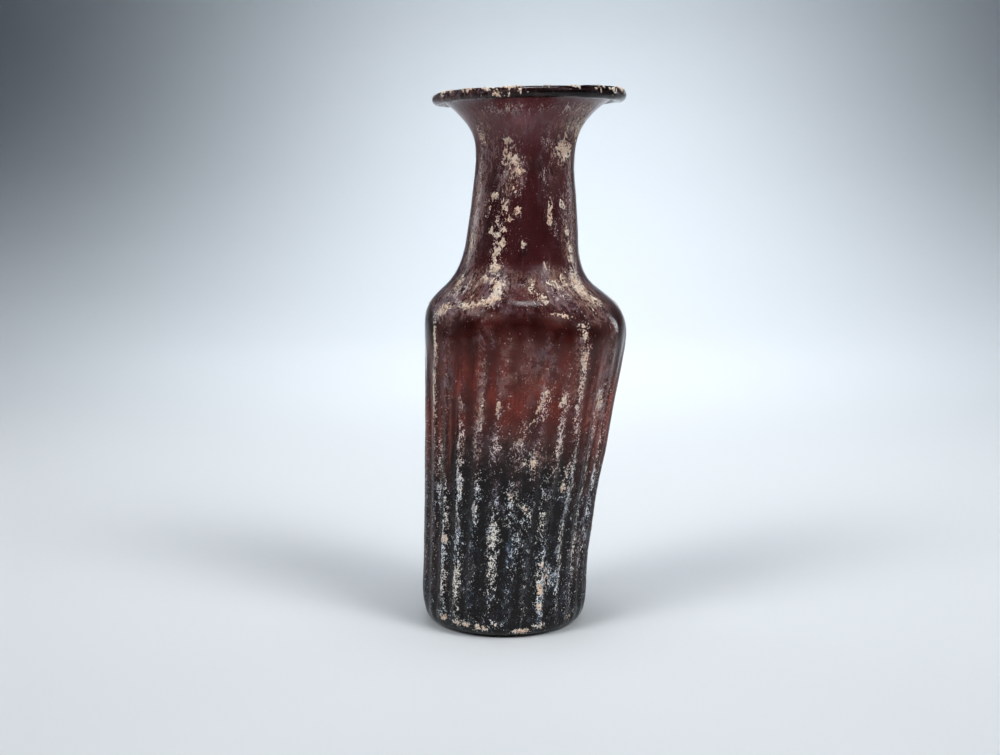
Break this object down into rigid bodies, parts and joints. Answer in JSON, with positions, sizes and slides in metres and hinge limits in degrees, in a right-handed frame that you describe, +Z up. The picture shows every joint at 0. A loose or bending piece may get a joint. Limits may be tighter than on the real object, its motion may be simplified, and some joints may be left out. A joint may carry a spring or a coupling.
{
  "type": "ribbed glass bottle",
  "caption": "Ancient ribbed glass bottle that leans a little, with a tall neck and a wide flaring mouth, dark purple glass with burial crust.",
  "frame": {"origin": "centre of the bounding box, on the plane that the bottle stands on", "axes": "+Z up along the neck and out of the mouth, -Y towards the front, and the foot stands towards -X of the neck"},
  "size_m": [0.0501, 0.0494, 0.131],
  "materials": {
    "purple_glass": "weathered, with silvery iridescence",
    "rim_glass": "weathered and nearly opaque",
    "residue": "matt, dry",
    "crust": "chalky"
  },
  "bodies": {
    "root": {"bottle_body": "purple_glass", "rim_coil": "rim_glass", "pontil_scar": "purple_glass", "residue_lining": "residue", "crust_neck": "crust", "crust_shoulder": "crust", "crust_body": "crust", "crust_base": "crust", "crust_rim": "crust"}
  },
  "joints": []
}
